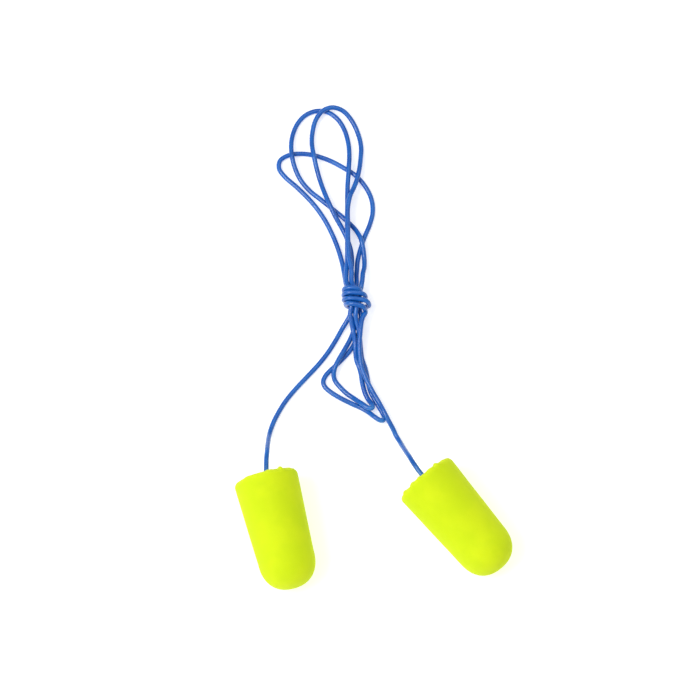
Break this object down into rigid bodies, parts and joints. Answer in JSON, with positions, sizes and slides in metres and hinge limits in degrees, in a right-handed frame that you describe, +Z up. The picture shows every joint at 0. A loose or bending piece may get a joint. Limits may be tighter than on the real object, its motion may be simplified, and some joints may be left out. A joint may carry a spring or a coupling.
{
  "type": "corded foam ear plugs",
  "caption": "Bullet-shaped foam ear plugs joined end to end by a thin vinyl cord, folded into loops and tied into a hank.",
  "frame": {"origin": "on the surface that the plugs lie on, under the middle of the box round the two plugs", "axes": "+X from the left plug to the right plug, +Y from the plugs towards the hank, +Z up"},
  "size_m": [0.055, 0.103, 0.0129],
  "materials": {
    "foam": "matt fluorescent yellow-green slow-recovery polyurethane foam with a fine moulded skin",
    "adhesive": "set hot-melt adhesive, milky and slightly glossy",
    "cord": "glossy mid-blue soft vinyl, slightly translucent"
  },
  "bodies": {
    "hank": {"hank_knot": "cord", "upper_loop_wide": "cord", "upper_loop_left": "cord", "upper_loop_right": "cord", "lower_loop_outer": "cord", "lower_loop_inner": "cord"},
    "left_lead": {"left_lead": "cord"},
    "right_lead": {"right_lead": "cord"},
    "left_plug": {"left_plug": "foam", "left_adhesive": "adhesive", "left_cord_end": "cord"},
    "right_plug": {"right_plug": "foam", "right_adhesive": "adhesive", "right_cord_end": "cord"}
  },
  "joints": [
    {"name": "left_lead_swing", "type": "hinge", "parent": "hank", "child": "left_lead", "pos_m": [-0.0044, 0.045, 0.00155], "axis": [0, 0, 1], "range_deg": [-50, 4]},
    {"name": "right_lead_swing", "type": "hinge", "parent": "hank", "child": "right_lead", "pos_m": [-0.0022, 0.045, 0.00275], "axis": [0, 0, 1], "range_deg": [0, 50]},
    {"name": "left_plug_swing", "type": "hinge", "parent": "left_lead", "child": "left_plug", "pos_m": [-0.02135, 0.0098, 0.0065], "axis": [0, 0, 1], "range_deg": [-40, 40]},
    {"name": "right_plug_swing", "type": "hinge", "parent": "right_lead", "child": "right_plug", "pos_m": [0.01035, 0.00955, 0.0065], "axis": [0, 0, 1], "range_deg": [-40, 40]}
  ]
}
